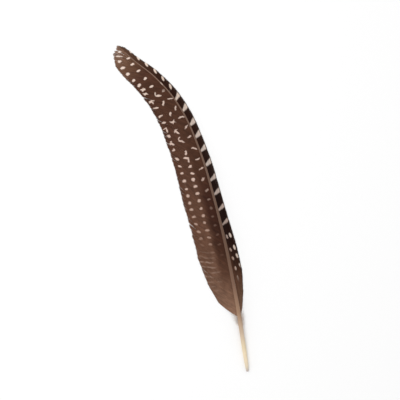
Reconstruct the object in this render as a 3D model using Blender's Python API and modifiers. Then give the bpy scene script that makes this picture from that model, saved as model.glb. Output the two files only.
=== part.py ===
"""A guinea fowl wing feather, lying on a surface with its upper side up.

The feather is one piece: a round bare quill that runs on as a tapering shaft, a wide inner vane on
its -X side, a narrow outer vane on its +X side, and a little down where the vanes begin. The quill
end is at -Y and the tip at +Y. The surface that the feather lies on is z = 0.

Every place on the feather is given by its station, the distance along the shaft from the quill end,
and its offset, the distance from the shaft's middle line, positive towards the outer vane.
"""

import math
import random

import bmesh
import bpy
import numpy as np

MM = 0.001

# Driving dimensions, in millimetres.
SHAFT_ROUTE = ((0, 0), (10.2, 46.3), (17.5, 93), (20, 127), (18.3, 148), (12.4, 166), (4.0, 181), (0, 190))
RACHIS_END = 191.0  # station where the shaft runs out among the last barbs
VANE_START = 30.0  # station of the lowest barbs of the vanes
SHEET_THICKNESS = 0.36
LOCKS = 56  # bundles of barbs along each vane
CELLS_PER_LOCK = 2
RIDGE_HEIGHT = 0.13  # how far the middle of a lock stands above its edges
LOCK_NOTCH = 0.035  # how much shorter a lock's edges are than its middle, as a share of its length
LENGTH_SCATTER = 0.014  # random change of a lock's length, as a share of it
FLAT_MARGIN = 0.88  # share of a barb's length past which it lies flat on the surface
PRESSED_BELOW = 0.2  # underside points lower than this are pressed flat on the surface
WAVE_HEIGHT = 0.22  # the inner vane's slow waves between the shaft and the margin
WAVE_LENGTH = 41.0

# Profiles along the shaft: pairs of a station and a value.
HALF_WIDTH = (
    (0, 0.62), (3, 0.95), (12, 1.14), (24, 1.18), (32, 1.12),
    (50, 0.98), (100, 0.64), (150, 0.38), (191, 0.16),
)
HALF_DEPTH = (
    (0, 0.60), (3, 0.92), (12, 1.12), (24, 1.18), (32, 1.20),
    (50, 1.12), (100, 0.78), (150, 0.46), (191, 0.17),
)
UNDERSIDE = (
    (0, 0.0), (8, 0.0), (40, 0.75), (75, 1.75), (105, 2.1), (135, 1.8), (165, 0.85), (185, 0.2), (191, 0.1),
)
SHAFT_RINGS, SHAFT_SIDES = 64, 12
SQUARENESS = 0.18  # how far the shaft's section swells to a square above the round quill
SQUARE_OVER = 15.0  # millimetres of shaft over which the section turns square
GROOVE = 0.16  # depth of the groove along the shaft's underside, as a share of its half depth
ATTACHED_AT = 1.2  # height at which the vanes leave the shaft, in half depths above its underside

# Barb lengths and the angles at which barbs leave the shaft, for each vane.
INNER_LENGTH = (
    (30, 14), (36, 19), (48, 23.5), (80, 26), (120, 25), (145, 22.5),
    (165, 20.5), (172, 20), (178, 18), (182, 14.5), (186, 10.5), (190.5, 5.5),
)
INNER_ANGLE = ((30, 56), (60, 52), (110, 47), (150, 42), (165, 38), (176, 31), (184, 22), (190.5, 3))
OUTER_LENGTH = (
    (30, 5.5), (35, 10), (43, 13.5), (58, 13), (74, 10.8), (90, 10), (120, 10),
    (150, 9.5), (170, 8), (180, 6.8), (188, 6), (190.5, 5),
)
OUTER_ANGLE = ((30, 34), (60, 32), (120, 31), (155, 29), (175, 27), (184, 25), (188, 17), (190.5, 3))
ANGLE_LEFT_AT_TIP = 0.64  # a barb bends towards the feather's tip: share of its first angle that is left

INNER_ROWS = (1.0, 0.94, 0.86, 0.7, 0.5, 0.3, 0.12)  # shares of a barb's length, from the margin inwards
OUTER_ROWS = (0.24, 0.55, 0.86, 1.0)

# Places where the vane has come unzipped: the column of the sheet, the side, the rows that stay
# joined and the opening at the margin, in columns.
SPLITS = (
    (26, -1, 3, 0.5), (59, -1, 4, 0.34), (83, -1, 3, 0.42), (105, -1, 4, 0.4),
    (47, 1, 1, 0.4), (109, 1, 1, 0.3),
)

DOWN_FIRST, DOWN_STEP = 24.8, 1.3  # station of the lowest tuft of down, and the distance to the next
DOWN_LENGTHS = (2.2, 3.4, 4.3, 4.9, 5.3, 5.6, 5.4)
DOWN_SPREAD = 64.0  # degrees between a tuft of down and the shaft
DOWN_SCATTER = 0.11  # random change of a tuft's length and spread, as a share of them
DOWN_HALF_WIDTH = 0.95
DOWN_HALF_THICKNESS = 0.25
DOWN_TIP_HEIGHT = 0.3
DOWN_SIDES = 8
DOWN_OUTER_SHARE = 0.7  # how long the outer side's tufts are beside the inner side's

SHARP_ANGLE = 35.0  # degrees between faces past which an edge is shaded sharp

VANE_COLOUR = (0.080, 0.036, 0.022, 1.0)
QUILL_COLOUR = (0.66, 0.50, 0.32, 1.0)


def profile(pairs, station):
    """The value at a station, on a straight line between the given pairs."""
    stations, values = zip(*pairs)
    return float(np.interp(station, stations, values))


def smooth_route(knots, points_per_span=24):
    """Points on a smooth curve through the knots, with a Bezier curve's automatic handles."""
    curve = bpy.data.curves.new("route", "CURVE")
    curve.dimensions = "3D"
    curve.resolution_u = points_per_span
    spline = curve.splines.new("BEZIER")
    spline.bezier_points.add(len(knots) - 1)
    for point, (x, y) in zip(spline.bezier_points, knots):
        point.co = (x, y, 0)
        point.handle_left_type = point.handle_right_type = "AUTO"
    guide = bpy.data.objects.new("route", curve)
    bpy.context.scene.collection.objects.link(guide)
    bpy.context.view_layer.update()
    mesh = guide.to_mesh()
    points = np.array([vertex.co[:2] for vertex in mesh.vertices])
    guide.to_mesh_clear()
    bpy.data.objects.remove(guide)
    return points


class Shaft:
    """The shaft's middle line: where a station is, seen from above, and which way it heads there."""

    def __init__(self, knots):
        self.points = smooth_route(knots)
        steps = np.linalg.norm(np.diff(self.points, axis=0), axis=1)
        self.stations = np.concatenate([[0.0], np.cumsum(steps)])

    def at(self, station):
        inside = min(max(station, 0.0), self.stations[-1] - 0.5)
        here = self.read(inside)
        heading = self.read(inside + 0.5) - here
        heading /= np.linalg.norm(heading)
        return here + heading * (station - inside), heading

    def read(self, station):
        return np.array([np.interp(station, self.stations, self.points[:, axis]) for axis in (0, 1)])

    def place(self, station, offset, height):
        """The point in millimetres at a station, an offset to the outer side, and a height."""
        here, heading = self.at(station)
        side = np.array([heading[1], -heading[0]])
        x, y = here + side * offset
        return x, y, height


def barb_point(side, root, share):
    """How far along and how far out from its root a barb has come, at a share of its length."""
    lengths, angles = (OUTER_LENGTH, OUTER_ANGLE) if side > 0 else (INNER_LENGTH, INNER_ANGLE)
    first = math.radians(profile(angles, root))
    turn = first * (1 - ANGLE_LEFT_AT_TIP)
    length = profile(lengths, root)
    along = length * (math.sin(first) - math.sin(first - turn * share)) / turn
    out = length * (math.cos(first - turn * share) - math.cos(first)) / turn
    return along, side * out


def attachment_height(station):
    """The vanes leave the shaft a little above its middle."""
    return profile(UNDERSIDE, station) + ATTACHED_AT * profile(HALF_DEPTH, station)


def vane_height(root, share):
    """The height of the vane's middle surface: down from the shaft, then flat on what it lies on."""
    reach = min(share / FLAT_MARGIN, 1.0)
    fall = reach * reach * (3 - 2 * reach)
    rest = SHEET_THICKNESS / 2
    return rest + (attachment_height(root) - rest) * (1 - fall)


def material(name, colour, roughness):
    made = bpy.data.materials.new(name)
    made.use_nodes = True
    shader = made.node_tree.nodes["Principled BSDF"]
    shader.inputs["Base Color"].default_value = colour
    shader.inputs["Roughness"].default_value = roughness
    shader.inputs["Metallic"].default_value = 0.0
    return made


def new_object(name, bm, materials, index, collection):
    """An object from a bmesh, in metres, with every face in one of the feather's materials."""
    bmesh.ops.scale(bm, vec=(MM, MM, MM), verts=bm.verts)
    bmesh.ops.recalc_face_normals(bm, faces=bm.faces)
    mesh = bpy.data.meshes.new(name)
    bm.to_mesh(mesh)
    bm.free()
    for each in materials:
        mesh.materials.append(each)
    mesh.polygons.foreach_set("material_index", [index] * len(mesh.polygons))
    made = bpy.data.objects.new(name, mesh)
    collection.objects.link(made)
    return made


def unzip(bm, column, side, joined_rows, opening):
    """Parts the sheet along one barb, from the margin in to where the barbs still hold together."""
    on_line = {v for v in bm.verts if abs(v.co.x - column) < 1e-4 and v.co.y * side > joined_rows - 1e-4}
    edges = [e for e in bm.edges if e.verts[0] in on_line and e.verts[1] in on_line]
    bmesh.ops.split_edges(bm, edges=edges)
    margin = max(v.co.y * side for v in bm.verts)
    for vert in bm.verts:
        if abs(vert.co.x - column) < 1e-4 and vert.co.y * side > joined_rows + 1e-4:
            middle = sum(face.calc_center_median().x for face in vert.link_faces) / len(vert.link_faces)
            freed = (vert.co.y * side - joined_rows) / (margin - joined_rows)
            vert.co.x += math.copysign(opening * freed / 2, middle - column)


def vane_sheet(shaft):
    """Both vanes as one open sheet: columns run along the barbs, rows run along the shaft."""
    columns = LOCKS * CELLS_PER_LOCK
    rows = len(INNER_ROWS) + len(OUTER_ROWS)
    bm = bmesh.new()
    bmesh.ops.create_grid(bm, x_segments=columns, y_segments=rows, size=0.5)
    bmesh.ops.scale(bm, vec=(columns, rows, 1), verts=bm.verts)
    bmesh.ops.translate(bm, vec=(columns / 2, rows / 2 - len(INNER_ROWS), 0), verts=bm.verts)
    for split in SPLITS:
        unzip(bm, *split)

    seeded = random.Random(7)
    scatter = {side: [seeded.gauss(0, LENGTH_SCATTER) for _ in range(columns + 1)] for side in (-1, 1)}
    shares = {-1: (0.0, *reversed(INNER_ROWS)), 1: (0.0, *OUTER_ROWS)}
    last_root = RACHIS_END - 0.5
    for vert in bm.verts:
        column, row = vert.co.x, round(vert.co.y)
        side = 1 if row > 0 else -1
        share = shares[side][abs(row)]
        ridge = 1 - abs(column % CELLS_PER_LOCK - 1)
        root = VANE_START + (last_root - VANE_START) * column / columns
        trim = 1 - LOCK_NOTCH * (1 - ridge) + scatter[side][round(column)]
        along, out = barb_point(side, root, share * (1 + (trim - 1) * share))
        height = vane_height(root, share) + RIDGE_HEIGHT * ridge * min(share * 4, 1)
        if side < 0:
            swell = max(1 - share / FLAT_MARGIN, 0) * share * 4
            height += WAVE_HEIGHT * swell * math.sin(2 * math.pi * root / WAVE_LENGTH)
        vert.co = shaft.place(root + along, out, height)
    return bm


def shaft_solid(shaft):
    """The quill and shaft: a round tube that turns squarish, with a groove beneath, as it runs up."""
    bm = bmesh.new()
    bmesh.ops.create_grid(bm, x_segments=SHAFT_RINGS, y_segments=SHAFT_SIDES, size=0.5)
    for vert in bm.verts:
        station = RACHIS_END * (vert.co.x + 0.5)
        turn = 2 * math.pi * (vert.co.y + 0.5)
        across, up = math.cos(turn), math.sin(turn)
        formed = min(max((station - VANE_START) / SQUARE_OVER, 0), 1)
        swell = 1 + SQUARENESS * formed * (2 * across * up) ** 2
        lowest = up < -math.cos(math.pi / SHAFT_SIDES)
        groove = 1 - GROOVE * formed if lowest else 1.0
        half_depth = profile(HALF_DEPTH, station)
        middle = profile(UNDERSIDE, station) + half_depth
        height = middle + half_depth * up * swell * groove
        vert.co = shaft.place(station, profile(HALF_WIDTH, station) * across * swell, height)
    bmesh.ops.remove_doubles(bm, verts=bm.verts, dist=0.001)
    ends = [e for e in bm.edges if e.is_boundary]
    bmesh.ops.holes_fill(bm, edges=ends, sides=SHAFT_SIDES)
    return bm


def down_tuft(shaft, station, side, length, spread):
    """One tuft of the down below the vanes: a flattened cone from inside the quill to the surface."""
    start = profile(UNDERSIDE, station) + profile(HALF_DEPTH, station)
    bm = bmesh.new()
    bmesh.ops.create_cone(bm, cap_ends=True, segments=DOWN_SIDES, radius1=1.0, radius2=0.25, depth=1.0)
    for vert in bm.verts:
        share = vert.co.z + 0.5
        wide = DOWN_HALF_WIDTH * vert.co.x
        along = length * share * math.cos(spread) + wide * math.sin(spread)
        out = length * share * math.sin(spread) - wide * math.cos(spread)
        height = start + (DOWN_TIP_HEIGHT - start) * share * share + DOWN_HALF_THICKNESS * vert.co.y
        vert.co = shaft.place(station + along, side * out, height)
    return bm


def press_flat(mesh):
    """What lies on the surface is flat there: the lowest underside points go down to z = 0."""
    for vertex in mesh.vertices:
        if vertex.co.z < PRESSED_BELOW * MM:
            vertex.co.z = 0.0


def thicken(sheet, thickness):
    """Gives the open sheet its thickness and leaves the result as a plain closed mesh."""
    shell = sheet.modifiers.new("thickness", "SOLIDIFY")
    shell.thickness = thickness * MM
    shell.offset = 0
    bpy.context.view_layer.update()
    solid = bpy.data.meshes.new_from_object(sheet.evaluated_get(bpy.context.evaluated_depsgraph_get()))
    sheet.modifiers.clear()
    sheet.data = solid
    press_flat(solid)


def main():
    for old in list(bpy.data.objects):
        bpy.data.objects.remove(old)
    parts = bpy.data.collections.new("guinea fowl feather")
    grown_on = bpy.data.collections.new("grown onto the shaft")
    for each in (parts, grown_on):
        bpy.context.scene.collection.children.link(each)

    shaft = Shaft(SHAFT_ROUTE)
    materials = (material("vane", VANE_COLOUR, 0.55), material("quill", QUILL_COLOUR, 0.35))

    vanes = new_object("vanes", vane_sheet(shaft), materials, 0, grown_on)
    thicken(vanes, SHEET_THICKNESS)
    seeded = random.Random(11)
    for number, length in enumerate(DOWN_LENGTHS):
        station = DOWN_FIRST + DOWN_STEP * number
        for name, side, share in (("inner", -1, 1.0), ("outer", 1, DOWN_OUTER_SHARE)):
            long = length * share * (1 + seeded.gauss(0, DOWN_SCATTER))
            spread = math.radians(DOWN_SPREAD) * (1 + seeded.gauss(0, DOWN_SCATTER))
            tuft = down_tuft(shaft, station, side, long, spread)
            new_object(f"down_{name}_{number}", tuft, materials, 1, grown_on)

    feather = new_object("feather", shaft_solid(shaft), materials, 1, parts)
    union = feather.modifiers.new("grown together", "BOOLEAN")
    union.operation = "UNION"
    union.operand_type = "COLLECTION"
    union.collection = grown_on
    for each in grown_on.objects:
        each.hide_render = True
        each.display_type = "WIRE"
    bpy.context.view_layer.update()
    whole = bpy.data.meshes.new_from_object(feather.evaluated_get(bpy.context.evaluated_depsgraph_get()))
    feather.modifiers.clear()
    feather.data = whole
    whole.shade_smooth()
    whole.set_sharp_from_angle(angle=math.radians(SHARP_ANGLE))

    corners = np.array([vertex.co for vertex in whole.vertices])
    shift = -(corners.min(axis=0) + corners.max(axis=0)) / 2
    shift[2] = 0.0
    for each in (feather, *grown_on.objects):
        each.location = shift
    print(f"feather: {len(whole.polygons)} faces, {(corners.max(axis=0) - corners.min(axis=0)) / MM} mm")


main()
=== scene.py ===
# %% [markdown]
# # A guinea fowl wing feather
# A wing feather is one growth with four kinds of surface: a bare quill that was rooted in the skin,
# the shaft that it runs on into, two vanes of hundreds of barbs that hold to each other, and a little
# loose down where the vanes begin. Each is a piece of its own here, but for the quill and the shaft,
# which are one tube. The plain CAD feather gives their places, and the pieces take over what is seen
# of it.

# %% Load the fixed frame
import math

import bpy
import numpy as np
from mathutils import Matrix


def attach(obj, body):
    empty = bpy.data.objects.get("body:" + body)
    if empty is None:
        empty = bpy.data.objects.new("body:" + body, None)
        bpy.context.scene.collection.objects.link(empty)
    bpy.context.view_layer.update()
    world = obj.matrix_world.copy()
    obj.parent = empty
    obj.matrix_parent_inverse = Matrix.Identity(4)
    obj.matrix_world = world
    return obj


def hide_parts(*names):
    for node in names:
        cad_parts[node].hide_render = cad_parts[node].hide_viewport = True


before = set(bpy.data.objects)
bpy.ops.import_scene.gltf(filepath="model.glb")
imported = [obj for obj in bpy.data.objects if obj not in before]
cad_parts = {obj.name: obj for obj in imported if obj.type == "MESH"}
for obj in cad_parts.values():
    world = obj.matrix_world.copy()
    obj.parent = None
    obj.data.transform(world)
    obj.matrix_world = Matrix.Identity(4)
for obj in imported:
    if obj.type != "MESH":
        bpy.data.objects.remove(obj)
bpy.ops.object.select_all(action="DESELECT")
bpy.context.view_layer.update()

# %% [markdown]
# ## The bow and the profiles
# The shaft isn't straight. Everything is modelled on a straight feather, in millimetres, where x is
# the distance from the shaft's middle line, y the distance along it from the quill end, called the
# station, and z the height. A Curve modifier then bends each piece along the bow. That way a barb
# needs only its place along the shaft, and the bend can't pull the pieces apart. The bow and the
# profiles have the CAD feather's own numbers, so both have the same shape.

# %% The bow
MM = 0.001
SHAFT_ROUTE = (
    (0, 0), (10.2, 46.3), (17.5, 93), (20, 127),
    (18.3, 148), (12.4, 166), (4.0, 181), (0, 190),
)
MIDDLE = (-9.0636, -94.8368, 0.0)  # brings the middle of the feather's box to the origin

curve = bpy.data.curves.new("bow", "CURVE")
curve.dimensions = "3D"
curve.twist_mode = "Z_UP"
curve.resolution_u = 24
spline = curve.splines.new("BEZIER")
spline.bezier_points.add(len(SHAFT_ROUTE) - 1)
for point, (x, y) in zip(spline.bezier_points, SHAFT_ROUTE):
    point.co = (x, y, 0)
    point.handle_left_type = point.handle_right_type = "AUTO"
    point.tilt = math.radians(90)  # keeps a bent piece's upper side up
bow = bpy.data.objects.new("bow", curve)
bpy.context.scene.collection.objects.link(bow)
bpy.context.view_layer.update()
print("bow length in mm:", round(spline.calc_length(), 2))

# %% Profiles along the shaft: pairs of a station and a value, in millimetres
HALF_WIDTH = (
    (0, 0.62), (3, 0.95), (12, 1.14), (24, 1.18), (32, 1.12),
    (50, 0.98), (100, 0.64), (150, 0.38), (191, 0.16),
)
HALF_DEPTH = (
    (0, 0.60), (3, 0.92), (12, 1.12), (24, 1.18), (32, 1.20),
    (50, 1.12), (100, 0.78), (150, 0.46), (191, 0.17),
)
UNDERSIDE = (
    (0, 0.0), (8, 0.0), (40, 0.75), (75, 1.75), (105, 2.1),
    (135, 1.8), (165, 0.85), (185, 0.2), (191, 0.1),
)


def read(pairs, stations):
    """The value at each station, on straight lines between the given pairs."""
    return np.interp(stations, *zip(*pairs))


print("shaft at station 100 in mm:", 2 * read(HALF_WIDTH, 100), "by", 2 * read(HALF_DEPTH, 100))

# %% [markdown]
# ## Helpers for a piece's mesh
# numpy reads and writes a mesh's points all at once. A choice of edges or faces holds in edit mode
# only where that kind is what is picked, so the kind is set first. The bend, the change from
# millimetres to metres and the move to the middle are the same for each piece, so one helper does
# them and leaves the object at the origin with its place in its mesh.

# %% Reading, writing and cutting a mesh
LONG_EDGE = 0.5  # only a blank's lengthwise edges reach further than this along its axis


def points_of(piece):
    """The places of the mesh's points, one row for each."""
    co = np.empty(len(piece.data.vertices) * 3)
    piece.data.vertices.foreach_get("co", co)
    return co.reshape(-1, 3)


def place_points(piece, co):
    """Moves the mesh's points to these places."""
    piece.data.vertices.foreach_set("co", np.ravel(co))
    piece.data.update()


def take_up(name):
    """The object just added, named, with its place moved into its mesh."""
    made = bpy.context.active_object
    made.name = made.data.name = name
    bpy.ops.object.transform_apply(location=True, rotation=True, scale=True)
    return made


def select_only(*pieces):
    """Selects these objects and makes the last one active."""
    bpy.ops.object.select_all(action="DESELECT")
    for piece in pieces:
        piece.select_set(True)
    bpy.context.view_layer.objects.active = pieces[-1]


def start_picking(piece, kind):
    """Sets whether points, edges or faces are picked, with none picked yet."""
    bpy.context.view_layer.objects.active = piece
    bpy.ops.object.mode_set(mode="EDIT")
    bpy.ops.mesh.select_mode(type=kind)
    bpy.ops.mesh.select_all(action="DESELECT")
    bpy.ops.object.mode_set(mode="OBJECT")


def cut_along(piece, axis, cuts):
    """Cuts the edges that run along an axis, and no others, into equal parts."""
    co = points_of(piece)
    edges = np.array([edge.vertices[:] for edge in piece.data.edges])
    start_picking(piece, "EDGE")
    piece.data.edges.foreach_set("select", np.ptp(co[edges, axis], axis=1) > LONG_EDGE)
    bpy.ops.object.mode_set(mode="EDIT")
    bpy.ops.mesh.subdivide(number_cuts=cuts)
    bpy.ops.mesh.select_mode(type="VERT")
    bpy.ops.object.mode_set(mode="OBJECT")


# %% Bending a piece and putting it in the CAD solid's stead


def face_outward(piece):
    """Turns the front of every face to the outside."""
    bpy.context.view_layer.objects.active = piece
    bpy.ops.object.mode_set(mode="EDIT")
    bpy.ops.mesh.select_all(action="SELECT")
    bpy.ops.mesh.normals_make_consistent(inside=False)
    bpy.ops.object.mode_set(mode="OBJECT")


def lay_on_bow(piece):
    """Bends a straight piece along the bow and brings it into the row frame, in metres."""
    select_only(piece)
    bend = piece.modifiers.new("bow", "CURVE")
    bend.object = bow
    bend.deform_axis = "POS_Y"
    bpy.ops.object.modifier_apply(modifier=bend.name)
    piece.location = [MM * c for c in MIDDLE]
    piece.scale = (MM, MM, MM)
    bpy.ops.object.transform_apply(location=True, rotation=True, scale=True)
    face_outward(piece)
    piece.select_set(False)


def stand_in(piece):
    """The piece belongs to the feather, hides its CAD solid and prints its size in millimetres."""
    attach(piece, "root")
    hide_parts("feather")
    print(f"{piece.name} in mm:", [round(1000 * d, 2) for d in piece.dimensions])


# %% [markdown]
# ## The quill and shaft
# The bare quill is a round horny tube with a small hole at its end, where the growing feather was
# fed. Above the skin it runs on as the shaft, whose section turns squarish, with a groove along the
# underside. A cylinder with many rings can be shaped ring by ring from the profiles, which is easier
# to keep even than a hand-made extrusion. The hole is an inset of the end face, pushed inwards.

# %% Model the shaft
SHAFT_LENGTH = 191.0
SHAFT_SIDES = 24
SHAFT_CUTS = 100

bpy.ops.mesh.primitive_cylinder_add(
    vertices=SHAFT_SIDES, radius=1.0, depth=SHAFT_LENGTH, end_fill_type="NGON",
    location=(0, SHAFT_LENGTH / 2, 0), rotation=(math.radians(-90), 0, 0),
)
shaft = take_up("shaft")
cut_along(shaft, 1, SHAFT_CUTS)
print("shaft blank:", len(shaft.data.polygons), "faces")

# %% Shape its section from the profiles
SQUARE_FROM, SQUARE_OVER = 30.0, 15.0  # from where and over what length it turns square
SQUARENESS = 0.18
GROOVE_DEPTH, GROOVE_HALF_ANGLE = 0.34, 0.6

across, station, up = points_of(shaft).T
formed = np.clip((station - SQUARE_FROM) / SQUARE_OVER, 0, 1)
swell = 1 + SQUARENESS * formed * (2 * across * up) ** 2
from_below = np.abs(np.arctan2(across, -up)) / GROOVE_HALF_ANGLE
groove = 1 - GROOVE_DEPTH * formed * np.clip(1 - from_below**2, 0, 1)
half_width, half_depth = read(HALF_WIDTH, station), read(HALF_DEPTH, station)
height = read(UNDERSIDE, station) + half_depth * (1 + up * swell * groove)
place_points(shaft, np.column_stack([half_width * across * swell, station, height]))
print("groove depth:", round(1 - groove.min(), 2), "of the half depth")

# %% Open the hole at the quill's end
HOLE_RIM, HOLE_DEPTH = 0.2, 2.2
LIP_LENGTH, LIP_WIDTH = 0.12, 0.08  # the hole's edge stands out
HOLE_TAPER = 0.6

start_picking(shaft, "FACE")
for face in shaft.data.polygons:
    face.select = len(face.vertices) == SHAFT_SIDES and face.center.y < 1
bpy.ops.object.mode_set(mode="EDIT")
bpy.ops.mesh.inset(thickness=HOLE_RIM)
bpy.ops.transform.translate(value=(0, -LIP_LENGTH, 0))
bpy.ops.mesh.inset(thickness=LIP_WIDTH)
bpy.ops.mesh.extrude_region_move(TRANSFORM_OT_translate={"value": (0, HOLE_DEPTH, 0)})
bpy.ops.transform.resize(value=(HOLE_TAPER, 1, HOLE_TAPER))
bpy.ops.mesh.select_mode(type="VERT")
bpy.ops.object.mode_set(mode="OBJECT")
print("shaft:", len(shaft.data.polygons), "faces")

# %% [markdown]
# ## Places that a finish can read
# A finish has to know where on the feather it is, also after the bend. An attribute gives each point
# its place on the straight feather. The map named OFBake says where each face lies on the picture
# that the finish may be baked to, so there no two faces may lie on each other.

# %% Helpers for attributes and maps


def write_attribute(piece, name, *columns):
    """Three numbers for each point, which a material can read by name."""
    attribute = piece.data.attributes.new(name, "FLOAT_VECTOR", "POINT")
    attribute.data.foreach_set("vector", np.column_stack(columns).ravel())


def write_map(piece, name, u, v):
    """A UV map from one u and one v for each corner."""
    layer = piece.data.uv_layers.new(name=name)
    layer.data.foreach_set("uv", np.column_stack([u, v]).astype(float).ravel())


def corner_points(piece):
    """The point that each face corner stands on."""
    index = np.empty(len(piece.data.loops), int)
    piece.data.loops.foreach_get("vertex_index", index)
    return index


def corner_faces(piece):
    """The face that each corner belongs to."""
    counts = np.empty(len(piece.data.polygons), int)
    piece.data.polygons.foreach_get("loop_total", counts)
    return np.repeat(np.arange(len(counts)), counts)


def unwrapped(turn, face_of):
    """A turn from 0 to 1 for each corner, run on past 1 where a face crosses the seam."""
    highest = np.full(face_of.max() + 1, -1.0)
    np.maximum.at(highest, face_of, turn)
    return np.where(highest[face_of] - turn > 0.5, turn + 1, turn)


# %% The shaft's places
HOLE_WITHIN, HOLE_BELOW = 0.98, 3  # of the half width, and the station
HOLE_LAID_OUT = 0.6  # of its depth

co = points_of(shaft)
station = co[:, 1]
half_width, half_depth = read(HALF_WIDTH, station), read(HALF_DEPTH, station)
across = co[:, 0] / half_width
up = (co[:, 2] - read(UNDERSIDE, station) - half_depth) / half_depth
around = np.arctan2(across, up) / (2 * math.pi) + 0.5
write_attribute(shaft, "place", station, co[:, 0], around)

from_middle = np.hypot(across, up)
in_hole = (from_middle < HOLE_WITHIN) & (station < HOLE_BELOW)
into_hole = 1 - from_middle + HOLE_LAID_OUT * np.maximum(station, 0)
unrolled = np.where(in_hole, -into_hole, station)  # as if the tube ran on past its end
print("points in the hole:", int(in_hole.sum()))

# %% Its place on the baked picture
FOLDS = 4  # the long thin surface lies there in this many strips
MAP_START, MAP_LENGTH = -2.5, SHAFT_LENGTH + 3  # in stations, with room for the hole

at, face_of = corner_points(shaft), corner_faces(shaft)
middle_of_face = (np.bincount(face_of, unrolled[at]) / np.bincount(face_of))[face_of]
strip = (middle_of_face - MAP_START) / MAP_LENGTH * FOLDS
strip = np.clip(strip, 0, FOLDS - 1e-6).astype(int)
along = (unrolled[at] - MAP_START) / MAP_LENGTH * FOLDS - strip
turn = unwrapped(around[at], face_of)
write_map(shaft, "OFBake", 0.02 + 0.96 * along, (strip + 0.04 + 0.88 * turn) / FOLDS)

face_outward(shaft)
select_only(shaft)
bpy.ops.object.shade_smooth_by_angle(angle=math.radians(40))
lay_on_bow(shaft)
stand_in(shaft)

# %% [markdown]
# ## One barb
# A vane is a row of barbs. Each is a stiff thread that leaves the shaft at a slant, with a fringe on
# both sides that hooks onto its neighbours and closes the sheet. At this size a barb can be a thin
# closed blade with a raised line along its middle: a six-sided cylinder, squashed flat, with its two
# upper and two lower corners drawn together. It is as long as 1 and as wide as a little more than the
# step to the next barb, so that neighbours overlap. It has few faces, because there will be hundreds.

# %% Model one barb
BARB_HALF_WIDTH = 0.58  # in steps from barb to barb
BARB_HALF_THICKNESS = 0.085  # in millimetres
BARB_RIDGE = 0.24  # how wide the raised line is, as a share of the barb
ROOT_POINT, TIP_POINT = 0.008, 0.012  # how far the middle of each end stands out
TIP_WIDTH, TIP_THICKNESS = 0.85, 0.6  # of the barb's own
UPPER_CORNER = math.sin(math.radians(60))  # height of a six-sided cylinder's upper corners
HIGH, OFF_AXIS, AT_END = 0.4, 0.3, 0.001  # tell the blank's corners from its other points


def pick_points(piece, chosen):
    """Picks the mesh's points by a list of truths, and stays in edit mode."""
    bpy.ops.object.mode_set(mode="OBJECT")
    mesh = piece.data
    mesh.polygons.foreach_set("select", [False] * len(mesh.polygons))
    mesh.edges.foreach_set("select", [False] * len(mesh.edges))
    mesh.vertices.foreach_set("select", [bool(c) for c in chosen])
    bpy.ops.object.mode_set(mode="EDIT")


def model_barb(name, cuts):
    """A barb from x = 0 to x = 1."""
    bpy.ops.mesh.primitive_cylinder_add(
        vertices=6, radius=1.0, depth=1.0, end_fill_type="TRIFAN",
        location=(0.5, 0, 0), rotation=(0, math.radians(90), 0),
    )
    barb = take_up(name)
    cut_along(barb, 0, cuts)

    along, across, up = points_of(barb).T
    rim = np.hypot(across, up) > OFF_AXIS
    pick_points(barb, np.abs(up) > HIGH)
    bpy.ops.transform.resize(value=(1, 2 * BARB_RIDGE, 1))
    bpy.ops.mesh.select_all(action="SELECT")
    bpy.ops.transform.resize(value=(1, BARB_HALF_WIDTH, BARB_HALF_THICKNESS / UPPER_CORNER))
    pick_points(barb, rim & (along < AT_END))
    bpy.ops.transform.translate(value=(ROOT_POINT, 0, 0))
    pick_points(barb, rim & (along > 1 - AT_END))
    bpy.ops.transform.resize(value=(1, TIP_WIDTH, TIP_THICKNESS))
    bpy.ops.transform.translate(value=(-TIP_POINT, 0, 0))
    bpy.ops.object.mode_set(mode="OBJECT")
    return barb


def copy_in_row(piece, count, offset):
    """Copies the piece within its mesh, and tells the copy that each point belongs to."""
    points_each = len(piece.data.vertices)
    row = piece.modifiers.new("row", "ARRAY")
    row.fit_type, row.count = "FIXED_COUNT", count
    row.use_relative_offset, row.use_constant_offset = False, True
    row.constant_offset_displace = offset
    bpy.ops.object.modifier_apply(modifier=row.name)
    return np.repeat(np.arange(count), points_each)


# %% [markdown]
# ## A comb of barbs
# An Array modifier copies the barb along the shaft, all in one mesh, and each copy can still be told
# by the order of its points. How a vane is combed is then a matter of where each copy's points go: a
# barb leaves the shaft at the angle of its place, bends towards the feather's tip, comes down from
# the shaft to the surface that the feather lies on, and ends where the vane's outline is.

# %% How long the barbs are and how they leave the shaft
INNER, OUTER = -1, 1  # the sign of x on the two sides of the shaft
VANE_START, LAST_ROOT = 30.0, 190.5
BARBS = 380  # in each vane
STEP = (LAST_ROOT - VANE_START) / (BARBS - 1)
MIDDLE_ROOT = VANE_START + STEP * np.arange(BARBS)  # the station of each barb's root
BARB_LENGTH = {
    INNER: (
        (30, 14), (36, 19), (48, 23.5), (80, 26), (120, 25), (145, 22.5),
        (165, 20.5), (172, 19.8), (178, 17), (182, 14.2), (186, 10.5), (190.5, 5.7),
    ),
    OUTER: (
        (30, 5.5), (35, 10), (43, 13.5), (58, 13), (74, 10.8), (90, 10),
        (118, 9.4), (150, 9.5), (170, 8), (180, 6.8), (188, 6.3), (190.5, 5.9),
    ),
}
BARB_ANGLE = {  # in degrees from the shaft
    INNER: ((30, 56), (60, 52), (110, 47), (150, 42), (165, 38), (176, 31), (184, 22), (190.5, 1.5)),
    OUTER: ((30, 34), (60, 32), (120, 31), (155, 29), (175, 27), (184, 25), (188, 17), (190.5, 1.5)),
}
print("step from barb to barb in mm:", round(STEP, 3))

# %% The middle line of a barb
ANGLE_LEFT_AT_TIP = 0.64  # of the angle at the root
ROOT_INSIDE = 0.35  # barbs start this far out inside the shaft, as a share of its half width


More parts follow.
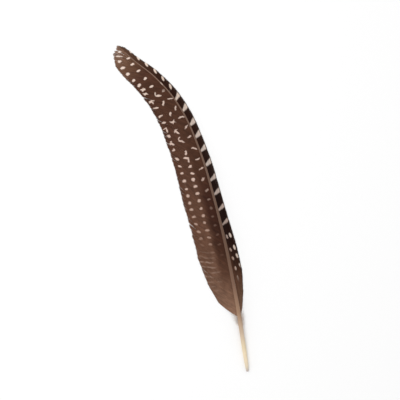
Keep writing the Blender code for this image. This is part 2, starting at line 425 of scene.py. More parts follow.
def smooth(low, high, value):
    """0 up to low, 1 from high on, and a soft step between."""
    share = np.clip((value - low) / (high - low), 0, 1)
    return share * share * (3 - 2 * share)


def barb_line(side, root, share, turned, longer):
    """Where a barb is at a share of it: share, length, heading, out and along."""
    angle = read(BARB_ANGLE[side], root) + turned * smooth(0, 0.6, share)
    first = np.radians(np.maximum(angle, 1.0))
    bend = first * (1 - ANGLE_LEFT_AT_TIP)
    length = read(BARB_LENGTH[side], root) * (1 + longer)
    start = ROOT_INSIDE * read(HALF_WIDTH, root) / (length * np.sin(first))
    share = start + (1 - start) * share
    heading = first - bend * share
    out = length * (np.cos(heading) - np.cos(first)) / bend
    along = root + length * (np.sin(first) - np.sin(heading)) / bend
    return share, length, heading, out, along


print("mm from shaft to margin at station 100:", round(barb_line(INNER, 100, 1, 0, 0)[3], 1))

# %% [markdown]
# ## What makes a vane uneven
# Barbs that touch cling together in locks. A lock's barbs differ from the next lock's in length and
# angle, and its outer barbs are a little shorter, which gives the margin its fine steps. Near the tip
# the feather is worn, and all this is stronger. Here and there a vane has come unzipped.

# %% Locks, wear and splits
SEED = {INNER: 5, OUTER: 8}
LOCK_BARBS = 6.8  # barbs that cling together
LOCK_NUMBER = (np.arange(BARBS) / LOCK_BARBS).astype(int)
LOCKS = LOCK_NUMBER.max() + 1
IN_LOCK = np.arange(BARBS) / LOCK_BARBS % 1  # from 0 to 1 across a lock
WORN = smooth(172, 188, MIDDLE_ROOT)
LIFT = 0.012  # in millimetres, by which barbs lie higher or lower
GATHER, GATHERED_FROM = 0.16, 0.72  # how far, and from which share on, a lock draws together
SPLITS = {  # where the vane has come unzipped: station, share that still holds, opening
    INNER: ((67.3, 0.78, 0.6), (114.5, 0.82, 0.5), (148.9, 0.74, 0.6), (179.5, 0.76, 0.7)),
    OUTER: ((97.4, 0.5, 0.5), (186.2, 0.6, 0.5)),
}
SPLIT_FADES = 2.5  # millimetres over which the neighbours give way less


def uneven(sound, worn):
    """How strong a chance is for each barb: its sound share and what wear adds."""
    return sound + worn * WORN


def barbs_by_chance(side):
    """For each barb: how much longer it is, its turn, how its lock clings, and its lift."""
    chance = np.random.RandomState(SEED[side])
    longer = uneven(0.005, 0.012) * chance.normal(0, 1, BARBS)
    longer += uneven(0.006, 0.022) * chance.normal(0, 1, LOCKS)[LOCK_NUMBER]
    longer -= uneven(0.006, 0.03) * (2 * IN_LOCK - 1) ** 2
    turned = uneven(0.05, 0.25) * chance.normal(0, 1, BARBS)
    turned += uneven(0.1, 0.5) * chance.normal(0, 1, LOCKS)[LOCK_NUMBER]
    clinging = chance.uniform(0, 1, LOCKS)[LOCK_NUMBER] ** 4
    return longer, turned, clinging, chance.normal(0, LIFT, BARBS)


def pulls_along(side, number, share, clinging):
    """How far the splits push each point along the vane, and how far its lock draws it in."""
    pushed = 0.0
    for split_root, holds, opening in SPLITS[side]:
        away = MIDDLE_ROOT - split_root
        push = np.sign(away) * opening / 2 * np.exp(-np.abs(away) / SPLIT_FADES)
        pushed = pushed + push[number] * np.clip((share - holds) / (1 - holds), 0, 1)
    inwards = ((0.5 - IN_LOCK) * clinging)[number]
    return pushed, GATHER * LOCK_BARBS * STEP * inwards * smooth(GATHERED_FROM, 1, share)


print(LOCKS, "locks in each vane")

# %% How high the sheet lies
SHEET_HEIGHT, FLAT_MARGIN = 0.18, 0.88  # height of the flat margin, and the share where it starts
ATTACHED_AT = 1.2  # height of the roots on the shaft, in its half depths
WAVE_HEIGHT, WAVE_LENGTH = 0.22, 41.0
LOCK_RISE = 0.1  # the middle of a lock stands this much higher than its sides


def sheet_height(side, number, root, share, lift):
    """How high each point of a vane is over the surface that the feather lies on."""
    attached = read(UNDERSIDE, root) + ATTACHED_AT * read(HALF_DEPTH, root)
    fall = smooth(0, FLAT_MARGIN, share)
    full = np.minimum(share * 4, 1)  # from a quarter of the barb on
    height = SHEET_HEIGHT + (attached - SHEET_HEIGHT) * (1 - fall) + lift[number] * full
    height = height + LOCK_RISE * (1 - np.abs(2 * IN_LOCK - 1))[number] * full
    if side == INNER:  # only the wide vane has room for slow waves
        swell = np.clip(1 - share / FLAT_MARGIN, 0, None) * share * 4
        height = height + WAVE_HEIGHT * swell * np.sin(2 * math.pi * root / WAVE_LENGTH)
    return height


# %% Comb a vane
NARROWEST, WIDEST = 0.18, 0.6  # limits for a barb's step, in millimetres
NUMBER_SPREAD = 0.6  # how much a barb's number varies across it
UNDER = -0.01  # lower faces of the flat blade are its underside
PICTURE_ROW = BARBS // 2  # barbs beside each other on the baked picture


def map_vane(vane, number, across, share, below):
    """Lays the barbs on the picture in two rows, with the undersides apart."""
    at, under = corner_points(vane), below[corner_faces(vane)]
    row = np.minimum(number[at] // PICTURE_ROW, 1)
    u = (number[at] - row * PICTURE_ROW + 0.5 + 0.72 * across[at]) / PICTURE_ROW
    v = (row * 2 + under + 0.03 + 0.94 * share[at]) / 4
    write_map(vane, "OFBake", u, v)
    write_map(vane, "underside", under, under)


def comb_vane(name, side, cuts):
    """A vane, and the root, share and length that each of its points has."""
    vane = model_barb(name, cuts)
    faces_each = len(vane.data.polygons)
    number = copy_in_row(vane, BARBS, (0, 1, 0))
    centre = np.empty(3 * len(vane.data.polygons))
    vane.data.polygons.foreach_get("center", centre)
    share, across, up = points_of(vane).T
    across = across - number
    longer, turned, clinging, lift = barbs_by_chance(side)
    pushed, gathered = pulls_along(side, number, share, clinging)

    by_chance = turned[number], longer[number]
    own_root = MIDDLE_ROOT[number]
    next_out, next_along = barb_line(side, own_root + STEP, share, *by_chance)[3:]
    share, length, heading, out, along = barb_line(side, own_root, share, *by_chance)
    sine, cosine = np.sin(heading), np.cos(heading)
    gap = (next_along - along) * sine - (next_out - out) * cosine
    gap = np.clip(gap, NARROWEST, WIDEST)
    width = gap * across
    out, along = out - cosine * width, along + sine * width + pushed + gathered
    root = own_root + STEP * across
    height = sheet_height(side, number, root, share, lift)
    place_points(vane, np.column_stack([side * out, along, height + up]))

    write_attribute(vane, "barb", number + 0.5 + NUMBER_SPREAD * across, share, length * share)
    write_attribute(vane, "place", along, out, root)
    write_attribute(vane, "heading", sine, cosine, gap / STEP - sine)
    map_vane(vane, number, across, share, centre[2::3] < UNDER)
    print(f"{name}: {BARBS} barbs of {faces_each} faces")
    return vane, root, share, length


# %% [markdown]
# ## The marks of the two vanes
# The pigment is laid down barb by barb while the feather grows, so the marks follow the barbs. On the
# wide inner vane pale spots stand in three rows, each at nearly the same share of the barbs' length.
# On the narrow outer vane cream bars cross it. How the spots are spaced is written as pairs of a
# station and a count, and every point of a barb keeps its count as an attribute. The finish can then
# draw a spot wherever the count is a whole number.

# %% The inner vane with its rows of spots
INNER_CUTS = 6  # along a barb
SPOT_ROWS = {  # share of the barb's length where the row is, by station
    "near": ((60, 0.17), (100, 0.16), (150, 0.14), (190, 0.14)),
    "mid": ((60, 0.43), (110, 0.46), (150, 0.46), (168, 0.34), (185, 0.30)),
    "far": ((60, 0.72), (100, 0.77), (120, 0.82), (160, 0.78), (190, 0.80)),
}
SPOT_COUNTS = {  # station of a barb's root and the spots of its row counted up to there
    "near": ((46, -5), (73.5, 0), (98, 5), (128.5, 10), (153, 14), (190, 20)),
    "mid": (
        (44.2, -5), (64.2, 0), (116.2, 13), (140.8, 17), (174.2, 22), (184.2, 24), (194.2, 26),
    ),
    "far": (
        (48.2, -5), (67.2, 0), (90, 6), (124.8, 14), (152.2, 19), (181.5, 26), (190, 28),
    ),
}


def step_between(counts, stations):
    """Millimetres from one count to the next."""
    steepness = read(counts, stations + 0.5) - read(counts, stations - 0.5)
    return 1.0 / np.maximum(steepness, 0.1)


def write_for_rows(name, value):
    """An attribute with one number for each row of spots."""
    write_attribute(inner_vane, name, *(value(row) for row in SPOT_ROWS))


inner_vane, root, share, length = comb_vane("inner_vane", INNER, INNER_CUTS)
write_for_rows("spot_count", lambda row: read(SPOT_COUNTS[row], root))
write_for_rows("spot_step", lambda row: step_between(SPOT_COUNTS[row], root))
write_for_rows("spot_out", lambda row: length * (share - read(SPOT_ROWS[row], root)))
lay_on_bow(inner_vane)
stand_in(inner_vane)

# %% The outer vane with its bars
OUTER_CUTS = 4
BAR_COUNTS = (
    (49.8, -5), (65.6, -2), (80, 0), (114.1, 4), (153.3, 9), (188.2, 15), (199, 17),
)
BAR_SLANT = 0.55  # how much further up the feather a bar is for each millimetre from the shaft

outer_vane, root, share, length = comb_vane("outer_vane", OUTER, OUTER_CUTS)
straight = points_of(outer_vane)
squared = straight[:, 1] - BAR_SLANT * straight[:, 0]
count, step = read(BAR_COUNTS, squared), step_between(BAR_COUNTS, squared)
write_attribute(outer_vane, "bar_count", count, step, share)
lay_on_bow(outer_vane)
stand_in(outer_vane)

# %% [markdown]
# ## The down
# Where the vanes begin, the lowest barbs have no hooks. They stay loose and their fringes stand out
# as fine hairs. One three-sided thread serves for both, because a barb and a hair differ only in
# length: an Array modifier makes the barbs, and the same thread again makes the hairs on them.

# %% A row of threads
THREAD_STRIPS = 24  # threads share this many strips of the baked picture


def model_threads(name, cuts, count):
    """Threads in one mesh, each from x = 0 to x = 1, and the thread that each point belongs to."""
    bpy.ops.mesh.primitive_cone_add(
        vertices=3, radius1=1.0, radius2=0, depth=1.0, end_fill_type="NGON",
        location=(0.5, 0, 0), rotation=(0, math.radians(90), 0),
    )
    thread = take_up(name)
    cut_along(thread, 0, cuts)
    number = copy_in_row(thread, count, (0, 0, 0))

    co, at = points_of(thread), corner_points(thread)
    around = (np.arctan2(co[:, 1], co[:, 2]) / (2 * math.pi) + 0.5)[at]
    around = unwrapped(around, corner_faces(thread))
    u = 0.03 + 0.94 * co[at, 0] + 0.015 * np.sin(2 * math.pi * around)
    v = (number[at] % THREAD_STRIPS + 0.05 + 0.7 * around) / THREAD_STRIPS
    write_map(thread, "OFBake", u, v)
    return thread, number


# %% Where the downy barbs are
DOWN_BARBS = 96
DOWN_FROM, DOWN_TO = 24.6, 31.5  # stations
DOWN_LENGTH = ((24.6, 2.4), (28, 4.6), (31, 5.6), (34, 5.4))
DOWN_OUTER = 0.5  # of the inner side's length
STARTS_AT = 0.8  # of the shaft's half width
RESTS_AT, DROOP = 0.12, 1.4  # height of the lowest tips, and how late a barb comes down

chance = np.random.RandomState(3)
root_at = np.sort(chance.uniform(DOWN_FROM, DOWN_TO, DOWN_BARBS))
side_of = np.where(np.arange(DOWN_BARBS) % 2 == 0, INNER, OUTER)
spread_of = np.radians(chance.normal(60, 11, DOWN_BARBS))  # from the shaft
curl_of = chance.normal(0.35, 0.3, DOWN_BARBS)
long_of = read(DOWN_LENGTH, root_at) * np.where(side_of == OUTER, DOWN_OUTER, 1.0)
long_of = long_of * chance.uniform(0.65, 1.08, DOWN_BARBS)
rise_of = chance.uniform(0.1, 1.5, DOWN_BARBS) * 0.5


def down_place(which, share):
    """Where a downy barb is at a share of its length, on the straight feather."""
    share = np.maximum(share, 0)
    root, long, rise = root_at[which], long_of[which], rise_of[which]
    heading = spread_of[which] - curl_of[which] * share
    out = STARTS_AT * read(HALF_WIDTH, root) + long * share * np.sin(heading)
    middle = read(UNDERSIDE, root) + read(HALF_DEPTH, root)
    height = middle + (RESTS_AT + rise - middle) * share**DROOP + rise * share * (1 - share)
    return np.column_stack([side_of[which] * out, root + long * share * np.cos(heading), height])


print("the longest downy barb in mm:", round(long_of.max(), 1))

# %% Lay the downy barbs
DOWN_CUTS, DOWN_THICK = 5, 0.035

down, which = model_threads("down", DOWN_CUTS, DOWN_BARBS)
co = points_of(down)
place_points(down, down_place(which, co[:, 0]) + DOWN_THICK * co[:, [2, 1, 2]] * [0.5, 1, 1])
write_attribute(down, "place", root_at[which], co[:, 0], which % THREAD_STRIPS + 0.5)
print("downy barbs:", len(down.data.polygons), "faces")

# %% Lay the hairs on them
HAIRS = 18  # on each barb
HAIR_CUTS, HAIR_THICK = 1, 0.018
LOWEST_HAIR = 0.06

hairs, which = model_threads("hairs", HAIR_CUTS, DOWN_BARBS * HAIRS)
co = points_of(hairs)
barb_of = which // HAIRS
foot = chance.uniform(0.08, 1.0, DOWN_BARBS * HAIRS)
lean = chance.uniform(-1, 1, DOWN_BARBS * HAIRS)
hair_long = chance.uniform(0.5, 1.2, DOWN_BARBS * HAIRS) * (1.1 - 0.5 * foot)
feet = down_place(barb_of, foot[which])
ahead = down_place(barb_of, np.minimum(foot[which] + 0.05, 1.05)) - feet
ahead /= np.linalg.norm(ahead, axis=1, keepdims=True)
aside = np.column_stack([-ahead[:, 1], ahead[:, 0], np.zeros(len(ahead))])
aside = aside * np.sign(lean[which])[:, None]
reach = (hair_long[which] * co[:, 0])[:, None]
lifted = 0.25 * reach * lean[::-1][which][:, None]
hair = feet + reach * (0.75 * ahead + 0.66 * aside) + [0, 0, 1] * lifted
hair[:, 2] = np.maximum(hair[:, 2], LOWEST_HAIR)
place_points(hairs, hair + HAIR_THICK * co[:, [2, 1, 2]])
shares = 0.3 + 0.7 * co[:, 0]
write_attribute(hairs, "place", root_at[barb_of], shares, which % THREAD_STRIPS + 0.5)

select_only(hairs, down)
bpy.ops.object.join()
lay_on_bow(down)
stand_in(down)
print("down with its hairs:", len(down.data.polygons), "faces")

# %% [markdown]
# ## Shader maths written as sums
# A material's numbers come out of sockets. Wrapped in a small class, a socket can be added and
# multiplied like a number, and each sum makes its Math node. A second class makes the nodes of one
# material, with the few patterns that the finishes share.

# %% A number that changes over the surface


class Reading:
    """A socket that can be used in a sum."""

    def __init__(self, finish, socket):
        self.finish = finish
        self.socket = socket

    def maths(self, operation, *others):
        sockets = dict(enumerate((self, *others)))
        return self.finish.node("ShaderNodeMath", {"operation": operation}, sockets)

    def __add__(self, other):
        return self.maths("ADD", other)

    __radd__ = __add__

    def __sub__(self, other):
        return self.maths("SUBTRACT", other)

    def __rsub__(self, other):
        return self * -1 + other

    def __mul__(self, other):
        return self.maths("MULTIPLY", other)

    __rmul__ = __mul__

    def __truediv__(self, other):
        return self.maths("DIVIDE", other)

    def smooth(self, low, high):
        """0 up to low, 1 from high on, and a soft step between."""
        return self.finish.node(
            "ShaderNodeMapRange", {"interpolation_type": "SMOOTHSTEP"},
            {"Value": self, "From Min": low, "From Max": high},
        )

    def part(self, name):
        """Another output of the same node."""
        return Reading(self.finish, self.socket.node.outputs[name])


# %% The maker of finishes
RAMP_LENGTH = 200  # the station where a colour ramp ends
UNDER_SHARE = 0.35  # how much of the paler tint the underside takes


def colour(red, green, blue):
    """A colour from its screen values, 0 to 255, as amounts of light."""
    parts = [c / 255 for c in (red, green, blue)]
    light = (c / 12.92 if c <= 0.04045 else ((c + 0.055) / 1.055) ** 2.4 for c in parts)
    return (*light, 1.0)


class Finish:
    """A material with its Principled shader."""

    def __init__(self, name):
        self.material = bpy.data.materials.new(name)
        self.material.use_nodes = True
        self.tree = self.material.node_tree
        self.shader = self.tree.nodes["Principled BSDF"]

    def node(self, kind, settings=None, sockets=None, out=0):
        """One output of a new node with these settings and inputs."""
        made = self.tree.nodes.new(kind)
        for name, value in (settings or {}).items():
            setattr(made, name, value)
        for name, value in (sockets or {}).items():
            self.feed(made.inputs[name], value)
        return Reading(self, made.outputs[out])

    def feed(self, socket, value):
        """Links a reading to the socket, or writes a constant on it."""
        if isinstance(value, Reading):
            self.tree.links.new(value.socket, socket)
        else:
            socket.default_value = value

    def attribute(self, name):
        """The three numbers of a point's attribute."""
        vector = self.node("ShaderNodeAttribute", {"attribute_name": name}, out="Vector")
        x = self.node("ShaderNodeSeparateXYZ", sockets={"Vector": vector}, out="X")
        return x, x.part("Y"), x.part("Z")

    def place(self, x, y, z=0.0):
        """A place in a pattern."""
        return self.node("ShaderNodeCombineXYZ", sockets={"X": x, "Y": y, "Z": z})

    def parts(self, mixed):
        """The three numbers of a colour."""
        x = self.node("ShaderNodeSeparateColor", sockets={"Color": mixed}, out="Red")
        return x, x.part("Green"), x.part("Blue")

    def chance(self, number):
        """Three numbers from 0 to 1 that are the same wherever the number is."""
        settings = {"noise_dimensions": "1D"}
        return self.parts(self.node("ShaderNodeTexWhiteNoise", settings, {"W": number}, "Color"))

    def barbs(self):
        """The chances of each barb, and places that draw out a pattern along the barbs."""
        barb, _, out = self.attribute("barb")
        number = barb.maths("FLOOR")
        return self.chance(number), self.place(number * 0.37, out * 0.35)

    def noise(self, place, scale, detail=2.0, out=0):
        """A cloudy pattern from 0 to 1."""
        sockets = {"Vector": place, "Scale": scale, "Detail": detail}
        return self.node("ShaderNodeTexNoise", {}, sockets, out)

    def mix(self, share, first, second, blend="MIX"):
        """A colour between two others."""
        settings = {"data_type": "RGBA", "blend_type": blend}
        return self.node("ShaderNodeMix", settings, {0: share, 6: first, 7: second}, 2)

    def by_station(self, station, stops):
        """A colour that changes along the feather, from the screen colours at some stations."""
        ramp = self.node("ShaderNodeValToRGB", sockets={"Fac": station / RAMP_LENGTH})
        elements = ramp.socket.node.color_ramp.elements
        for place in list(stops)[2:]:
            elements.new(place / RAMP_LENGTH)
        for element, (place, screen_colour) in zip(elements, stops.items()):
            element.position = place / RAMP_LENGTH
            element.color = colour(*screen_colour)
        return ramp

    def shaded(self, base, amount):
        """The colour made darker or lighter by an amount around 1."""
        grey = self.node("ShaderNodeCombineColor", sockets={0: amount, 1: amount, 2: amount})
        return self.mix(1.0, base, grey, "MULTIPLY")

    def paler_below(self, surface, tint):
        """The underside has less pigment, and the marks show through it."""
        below = self.node("ShaderNodeUVMap", {"uv_map": "underside"})
        under = self.node("ShaderNodeSeparateXYZ", sockets={"Vector": below}, out="X")
        return self.mix(under * UNDER_SHARE, surface, tint)

    def finish_with(self, base, fibre, rough, relief, gloss):
        """The base colour, the fibres that roughen and raise the surface, and the gloss."""
        inputs = self.shader.inputs
        self.feed(inputs["Base Color"], base)
        self.feed(inputs["Roughness"], rough[0] + rough[1] * fibre)
        sockets = {"Strength": relief[0], "Distance": relief[1], "Height": fibre}
        self.feed(inputs["Normal"], self.node("ShaderNodeBump", sockets=sockets))
        inputs["Specular IOR Level"].default_value = gloss


def coat(piece, finish):
    """Gives the piece this finish and no other."""
    piece.data.materials.clear()
    piece.data.materials.append(finish.material)
    print(f"{piece.name}: {finish.material.name}, {len(finish.tree.nodes)} nodes")


# %% [markdown]
# ## The inner vane's finish
# Guinea fowl brown is nearly even over the vane: darkest in the middle, warmer and paler where the
# feather begins and at its worn tip. Real spots differ: low down they are round dots, further up they
# stretch into bars, bend and double. So each spot gets its own small shift, stretch and turn by
# chance, drawn from its count, and a second mark joins some of them.

# %% A spot
SPOT_EDGE = 0.72, 1.22  # half sizes at which it starts to fade and is gone


def spot(along, outward, heading, half_length, half_width, turn):
    """1 on an oval mark and 0 off it; along and outward are in millimetres from its middle."""
    sine, cosine, fanned = heading
    x = outward * sine - along * cosine * fanned
    y = along + outward * cosine + along * sine * fanned
    c, s = turn.maths("COSINE"), turn.maths("SINE")
    long = (x * c + y * s) / half_length
    wide = (y * c - x * s) / half_width
    reach = (long * long + wide * wide).maths("SQRT")
    return 1 - reach.smooth(*SPOT_EDGE)


# %% What the inner vane's finish can read
inner = Finish("brown vane")
barb_chance, streak = inner.barbs()
STATION, OFFSET, ROOT = inner.attribute("place")
HEADING = inner.attribute("heading")
SPOT_COUNT = inner.attribute("spot_count")
SPOT_STEP = inner.attribute("spot_step")
SPOT_OUT = inner.attribute("spot_out")
loose = ROOT.smooth(88, 114) * (1 - ROOT.smooth(154, 164))  # where the rows lose their order
place = inner.place(STATION, OFFSET)
wander_x, wander_y, _ = inner.parts(inner.noise(place, 0.45, 1.0, "Color"))
print(len(inner.tree.nodes), "nodes so far")

# %% A row of spots
ROW_STRENGTH = {
    "near": (ROOT.smooth(56, 66) * 0.2 + ROOT.smooth(84, 116) * 0.68) * (1 - ROOT.smooth(156, 162)),
    "mid": ROOT.smooth(52, 68) * (1 - ROOT.smooth(186, 187.5)),
    "far": ROOT.smooth(56, 68) * (1 - ROOT.smooth(186, 187.5)),
}
ROW_LOOK = {  # size, least stretch and how it varies, turn where the row is loose, lean
    "near": (0.92, 0.35, 0.5, 0.5, 0.2),
    "mid": (1.04, 0.0, 1.0, 2.2, 0.0),
    "far": (1.04, 0.0, 1.0, 2.2, 0.0),
}
FIRST_SEED, SECOND_SEED = 31.7, 57.3  # keep chances apart
LENGTH, WIDTH = 0.98, 0.86  # half sizes of a plain spot, in millimetres
TWIN_SHIFT, TWIN_LENGTH, TWIN_WIDTH, TWIN_TURN = 2.6, 1.35, 0.42, 1.5


def loosened(even, more):
    """A number where the rows are even, and what looseness adds to it."""
    return even + more * loose


def row_of_spots(number, row):
    """The marks of a row, each with its own shift, stretch, turn and size."""
    base_size, stretch_least, stretch_varies, turn_loose, lean = ROW_LOOK[row]
    which = SPOT_COUNT[number].maths("ROUND")
    first = inner.chance(which + FIRST_SEED * (number + 1))
    again = inner.chance(which + SECOND_SEED * (number + 1))
    along = (SPOT_COUNT[number] - which) * SPOT_STEP[number]
    along = along + (first[0] - 0.5) * loosened(0.5, 0.9) + (wander_x - 0.5) * loosened(0.6, 1.2)
    outward = SPOT_OUT[number] + (first[1] - 0.5) * loosened(0.6, 1.0)
    outward = outward + (wander_y - 0.5) * loosened(0.6, 1.2) + (barb_chance[0] - 0.5) * 0.3

    stretch = 1 + loose * (stretch_least + stretch_varies * again[0])
    turn = (first[2] - 0.5) * loosened(0.9, turn_loose) - lean
    squat = 1 + 0.35 * (1 - ROOT.smooth(68, 84))  # the lowest spots lie across the vane
    size = base_size + 0.2 * (again[1] - 0.5)
    size = size * (1 - 0.14 * (1 - ROOT.smooth(84, 104)))  # smaller low on the vane
    size = size * (1 - 0.16 * ROOT.smooth(156, 170))  # and near the tip
    half_length = LENGTH * size * stretch * squat
    half_width = WIDTH * size / (0.6 * stretch + 0.4) / squat * (1 - 0.22 * loose)
    mark = spot(along, outward, HEADING, half_length, half_width, turn + 0.5 * (squat - 1))
    if row != "near":  # in the other rows a second mark joins some spots
        twin = spot(
            along + (again[1] - 0.5) * TWIN_SHIFT, outward + (again[2] - 0.5) * TWIN_SHIFT,
            HEADING, TWIN_LENGTH * size, TWIN_WIDTH * size, turn + TWIN_TURN,
        )
        has_twin = (again[0] - 0.4).smooth(0, 0.05)
        mark = mark.maths("MAXIMUM", twin * loose * has_twin)
    return mark * ROW_STRENGTH[row]


marks = [row_of_spots(number, row) for number, row in enumerate(SPOT_ROWS)]
marks = marks[0].maths("MAXIMUM", marks[1]).maths("MAXIMUM", marks[2])
print(len(inner.tree.nodes), "nodes so far")

# %% Faint bars low on the vane
FAINT_STEP = 2.75  # millimetres from one to the next
low = STATION.smooth(43, 52) * (1 - STATION.smooth(63, 71))
sway = inner.noise(place, 0.16, 1.0)
bar = (STATION + (sway - 0.5) * 3.2 + (wander_x - 0.5) * 1.2 - OFFSET * 0.17) / FAINT_STEP
bar_chance = inner.chance(bar.maths("ROUND"))
faint = 1 - (bar - bar.maths("ROUND")).maths("ABSOLUTE").smooth(0.06, 0.24)
starts = 6.5 + 5 * bar_chance[0]  # some start further from the shaft than others
faint = faint * low * (OFFSET - starts).smooth(-1.5, 1.0) * (1 - OFFSET.smooth(15, 19))
broken = inner.noise(place, 0.3).smooth(0.34, 0.58)
faint = faint * broken * (0.25 + 0.35 * bar_chance[1])
print(len(inner.tree.nodes), "nodes so far")

# %% Brown, and the pale marks on it
BROWN = {  # beside the shaft
    30: (138, 105, 85), 42: (117, 86, 68), 54: (87, 57, 42), 66: (66, 38, 25),
    80: (55, 28, 17), 96: (59, 31, 20), 112: (70, 42, 28), 140: (75, 47, 33),
    166: (74, 45, 31), 176: (80, 50, 37), 185: (102, 72, 54), 196: (130, 100, 82),
}
BROWN_OUT = {  # on the outer half of the vane
    30: (138, 105, 85), 42: (116, 86, 69), 58: (103, 73, 57), 72: (100, 69, 53),
    90: (93, 63, 48), 112: (86, 57, 43), 140: (80, 51, 37), 166: (77, 48, 34),
    176: (82, 52, 39), 185: (104, 74, 56), 196: (130, 100, 82),
}
PALE = {
    58: (120, 90, 73), 70: (150, 120, 104), 82: (174, 145, 130), 96: (194, 166, 151),
    110: (212, 186, 172), 130: (212, 187, 174), 160: (220, 198, 184), 185: (236, 217, 204),
}

outer_half = (OFFSET + (sway - 0.5) * 3.0).smooth(4.0, 9.0)
brown = inner.by_station(STATION, BROWN)
brown = inner.mix(outer_half, brown, inner.by_station(STATION, BROWN_OUT))
shade = 0.2 + 0.66 * inner.noise(streak, 1.0, 3.0) + 0.22 * barb_chance[1]
shade = shade + 0.56 * inner.noise(streak, 0.5, 1.0)
shade = shade + 0.22 * inner.noise(place, 0.11, 3.0)
brown = inner.shaded(brown, shade)
surface = inner.mix(marks * 0.95, brown, inner.by_station(STATION, PALE))
surface = inner.mix(faint, surface, colour(178, 150, 134))
surface = inner.paler_below(surface, colour(150, 132, 120))
fibre = inner.noise(streak, 3.0, 3.0)
inner.finish_with(surface, fibre, rough=(0.46, 0.2), relief=(0.3, 0.00005), gloss=0.12)
coat(inner_vane, inner)

# %% [markdown]
# ## The outer vane's finish
# The narrow vane leads in flight and carries the most pigment, so it is nearly black. The cream bars
# that cross it stand slantwise, wider at the margin than at the shaft. Low on the feather they break
# up into two rows of spots, and near the tip only their outer ends are left.

# %% What the outer vane's finish can read
outer = Finish("barred vane")
barb_chance, streak = outer.barbs()
STATION, OFFSET, ROOT = outer.attribute("place")
BAR_COUNT, BAR_STEP, VANE_SHARE = outer.attribute("bar_count")
which = BAR_COUNT.maths("ROUND")
chance = outer.chance(which + 11.3)
ragged = (barb_chance[0] - 0.5) * 0.3
along = (BAR_COUNT - which) * BAR_STEP + (chance[0] - 0.5) * 0.8 + ragged
low_part = 1 - STATION.smooth(76, 80)
high_part = STATION.smooth(155, 160)
middle_part = STATION.smooth(76, 80) * (1 - high_part)
print(len(outer.tree.nodes), "nodes so far")

# %% Bars and spots of the outer vane
BAR_EDGE = -0.4, 0.45  # millimetres at which a bar starts to fade and is gone
AS_IT_IS = 1.0, 0.0, 0.0  # a spot placed by the offset itself, not along a barb

half_bar = 0.36 + 0.27 * OFFSET + 0.25 * chance[1]
half_bar = half_bar * (0.74 + 0.26 * STATION.smooth(90, 106))  # narrower low on the vane
across_bar = 1 - (along.maths("ABSOLUTE") - half_bar).smooth(*BAR_EDGE)
lower = 74 - STATION  # the two low rows draw apart as the vane widens
near_row = spot(along, OFFSET - 1.7 - lower * 0.055, AS_IT_IS, 1.25, 0.5, chance[2] * 0.3 + 1.6)
far_row = spot(
    along + 0.6, OFFSET - 3.6 - lower * 0.12, AS_IT_IS, 1.5, 0.6, chance[1] * 0.3 + 1.6
)
low_marks = near_row.maths("MAXIMUM", far_row) * STATION.smooth(48, 56)
high_marks = spot(along, OFFSET - 2.5, AS_IT_IS, 1.3, 0.7, chance[2] * 0.4 + 1.0)
marks = (across_bar * middle_part).maths("MAXIMUM", low_marks * low_part)
marks = marks.maths("MAXIMUM", high_marks * high_part)
print(len(outer.tree.nodes), "nodes so far")

# %% Near black, and the cream marks on it
NEAR_BLACK = {
    32: (128, 98, 80), 40: (106, 78, 60), 50: (90, 60, 45), 58: (58, 34, 22),
    70: (38, 17, 9), 84: (28, 8, 3), 105: (30, 10, 4), 128: (44, 21, 11),
    156: (44, 20, 10), 168: (54, 30, 19), 178: (72, 46, 33), 190: (92, 65, 50),
}
CREAM = {
    60: (164, 134, 118), 75: (176, 154, 143), 88: (190, 168, 156), 102: (198, 180, 170),
    117: (214, 198, 187), 134: (222, 204, 192), 165: (228, 208, 192), 180: (238, 220, 206),
}

shade = 0.66 + 0.46 * outer.noise(streak, 1.0, 3.0) + 0.22 * barb_chance[1]
black = outer.shaded(outer.by_station(STATION, NEAR_BLACK), shade)
beside = (1 - OFFSET.smooth(1.0, 2.4)) * (1 - STATION.smooth(58, 76))
black = outer.mix(beside * 0.5, black, colour(98, 64, 46))
outwards = OFFSET.smooth(2.0, 4.0) * STATION.smooth(90, 105)
black = outer.mix(outwards * 0.2, black, colour(82, 72, 68))
cream = outer.by_station(STATION, CREAM)
cream = outer.mix(OFFSET.smooth(2.3, 3.4) * low_part * 0.9, cream, colour(222, 204, 190))
surface = outer.mix(marks * 0.92, black, cream)
rim = VANE_SHARE.smooth(0.82, 0.92) * (1 - marks * high_part) * 0.8
surface = outer.mix(rim, surface, colour(64, 52, 46))
surface = outer.paler_below(surface, colour(140, 124, 114))
fibre = outer.noise(streak, 3.0, 3.0)
outer.finish_with(surface, fibre, rough=(0.44, 0.2), relief=(0.3, 0.00005), gloss=0.08)
coat(outer_vane, outer)

# %% [markdown]
# ## The quill's finish
# The quill is clear horn over a dried pith, so it is cream and a little glossy. The shaft above it
# has the vane's pigment in its skin and darkens upwards. Both are drawn out lengthwise while they
# grow, which leaves fine lines along them. The shaft's flanks, where the barbs are rooted, are
# darkened with painted shade, and near the tip a small pale nick crosses it.

# %% Horn
HORN = {
    0: (184, 172, 166), 2.5: (216, 201, 176), 6: (230, 212, 182), 14: (221, 203, 170),
    20: (200, 178, 154), 32: (154, 121, 95), 40: (138, 106, 84), 48: (116, 86, 68),
    62: (99, 71, 54), 80: (95, 70, 55), 110: (101, 76, 61), 150: (106, 80, 65),
    176: (124, 96, 80), 190: (132, 104, 86),
}
NICK_STATION = 164.9

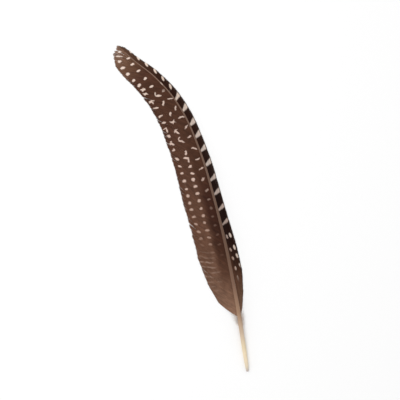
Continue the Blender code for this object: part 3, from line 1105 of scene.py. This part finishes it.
quill = Finish("quill and shaft")
STATION, _, AROUND = quill.attribute("place")
lines = quill.noise(quill.place(STATION * 0.12, AROUND * 26), 1.0, 4.0)
clouds = quill.noise(quill.place(STATION * 0.35, AROUND * 3, 4.0), 1.0, 2.0)
horn = quill.by_station(STATION, HORN)
horn = quill.shaded(horn, 0.8 + 0.26 * lines + 0.16 * clouds)
# painted shade: the shaft's sides, where it meets the vanes, are darkened towards a deep brown
flank_painted_shade = (AROUND - 0.5).maths("ABSOLUTE").smooth(0.15, 0.21) * STATION.smooth(30, 48)
horn = quill.mix(flank_painted_shade * 0.6, horn, colour(62, 42, 33))
nick = 1 - (STATION - NICK_STATION).maths("ABSOLUTE").smooth(0.5, 1.3)
horn = quill.mix(nick * 0.6, horn, colour(212, 188, 174))
quill.finish_with(horn, lines, rough=(0.3, 0.18), relief=(0.25, 0.0001), gloss=0.3)
coat(shaft, quill)

# %% [markdown]
# ## The down's finish
# Down has hardly any pigment. It is palest at the ends of its hairs, and no two threads are quite
# alike. It scatters light and hardly shines.

# %% Down
fluff = Finish("down")
_, SHARE, NUMBER = fluff.attribute("place")
thread_chance = fluff.chance(NUMBER.maths("FLOOR"))
pale_down = fluff.mix(SHARE.smooth(0.0, 0.7), colour(186, 164, 148), colour(232, 226, 220))
pale_down = fluff.shaded(pale_down, 0.85 + 0.3 * thread_chance[0])
fluff.feed(fluff.shader.inputs["Base Color"], pale_down)
fluff.shader.inputs["Roughness"].default_value = 0.8
coat(down, fluff)

# %% [markdown]
# ## The floor and the light
# The feather lies on a plain pale floor. A bright white world gives nearly shadowless light from all
# around, and a large soft light from the upper left gives the vanes a little shape.

# %% Floor and light
bpy.ops.mesh.primitive_plane_add(size=3.0, location=(0, 0, 0))
floor = bpy.context.active_object
floor.name = "floor"
paper = Finish("pale floor")
paper.shader.inputs["Base Color"].default_value = (0.92, 0.92, 0.92, 1)
paper.shader.inputs["Roughness"].default_value = 0.9
coat(floor, paper)

world = bpy.data.worlds.new("studio")
world.use_nodes = True
world.node_tree.nodes["Background"].inputs["Color"].default_value = (1, 1, 1, 1)
world.node_tree.nodes["Background"].inputs["Strength"].default_value = 0.85
bpy.context.scene.world = world
bpy.ops.object.light_add(type="AREA", location=(-0.35, 0.35, 0.8))
softbox = bpy.context.active_object
softbox.data.size = 0.6
softbox.data.energy = 3.0
softbox.rotation_euler = (math.radians(-24), math.radians(-24), 0)

# %% [markdown]
# ## The camera
# The photo looks straight down, and its feather leans to the left. A long lens far away shows hardly
# any perspective, and the camera's turn about its own axis gives the lean.

# %% Camera
PHOTO_SPAN = 217.47 * MM  # how much the picture's width shows at the floor
LENS, SENSOR = 90.0, 36.0
LOOKS_AT = 1.106 * MM, 1.103 * MM
LEAN = -math.asin(0.3677)

bpy.ops.object.camera_add(location=(*LOOKS_AT, PHOTO_SPAN * LENS / SENSOR), rotation=(0, 0, LEAN))
camera = bpy.context.active_object
camera.data.lens, camera.data.sensor_width = LENS, SENSOR
camera.data.clip_start = 0.01
bpy.context.scene.camera = camera
bpy.context.scene.view_settings.view_transform = "Standard"  # colours as the finishes give them
print("camera height in mm:", round(1000 * camera.location.z, 1))

# %% [markdown]
# ## Take the bow away
# The bow has done its work and goes. The dressed feather should fill the CAD feather's box and pass
# it by no more than a barb's tip.

# %% Take the bow away
bpy.data.objects.remove(bow)
